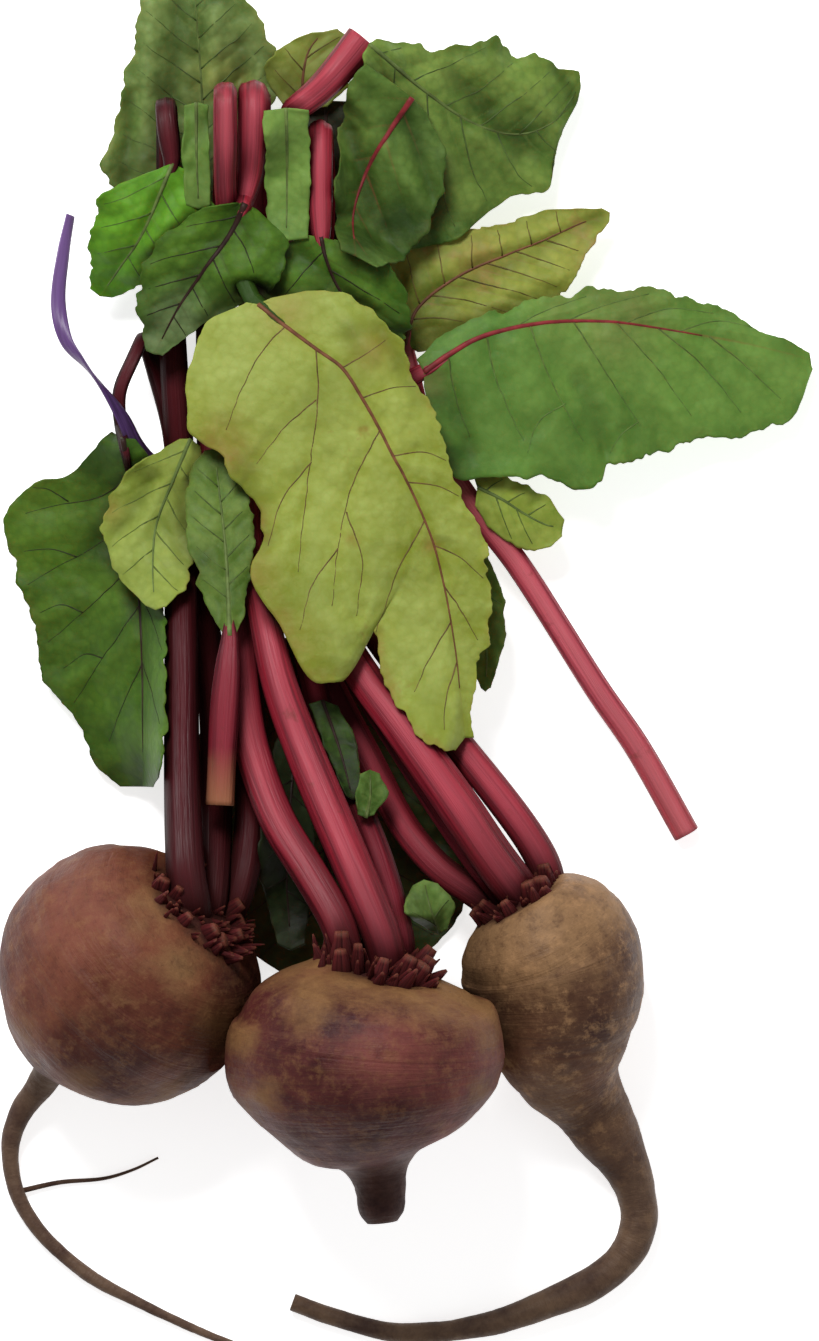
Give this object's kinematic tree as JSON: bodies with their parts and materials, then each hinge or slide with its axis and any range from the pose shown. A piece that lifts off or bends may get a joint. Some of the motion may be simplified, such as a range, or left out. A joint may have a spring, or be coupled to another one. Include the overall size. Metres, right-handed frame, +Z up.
{
  "type": "beetroot bunch",
  "caption": "Bunch of fresh beetroots lying down, red stalks tied by a violet strip and leaves folded back over it.",
  "frame": {"origin": "on the surface the bunch lies on, under the middle of its bounding box", "axes": "+Y from the roots' tails towards the leaves, +X to the right seen from above, +Z up"},
  "size_m": [0.2293, 0.3955, 0.0947],
  "materials": {
    "leaf": "satin",
    "stalk": "satin",
    "tie": "satin",
    "root": "matt"
  },
  "bodies": {
    "root": {"leaf_lower_left": "leaf", "leaf_top": "leaf", "leaf_upper_right": "leaf", "leaf_right": "leaf", "leaf_bright_left": "leaf", "leaf_front": "leaf", "leaf_upper_left": "leaf", "leaf_middle": "leaf", "leaf_yellow": "leaf", "leaf_cut_small": "leaf", "leaf_dark_centre": "leaf", "leaf_behind_fold": "leaf", "leaf_dark_inner": "leaf", "leaflet_centre": "leaf", "leaflet_crown": "leaf", "leaf_under_front": "leaf", "leaf_lobed": "leaf", "leaf_strip": "leaf", "leaf_strip_left": "leaf", "leaf_dark_under": "leaf", "leaf_dark_low": "leaf", "leaf_inner_right": "leaf", "leaf_small_yellow": "leaf", "stalk_middle": "stalk", "stalk_right_inner": "stalk", "tie": "tie", "beet_front": "root", "beet_left": "root", "beet_right": "root"}
  },
  "joints": []
}
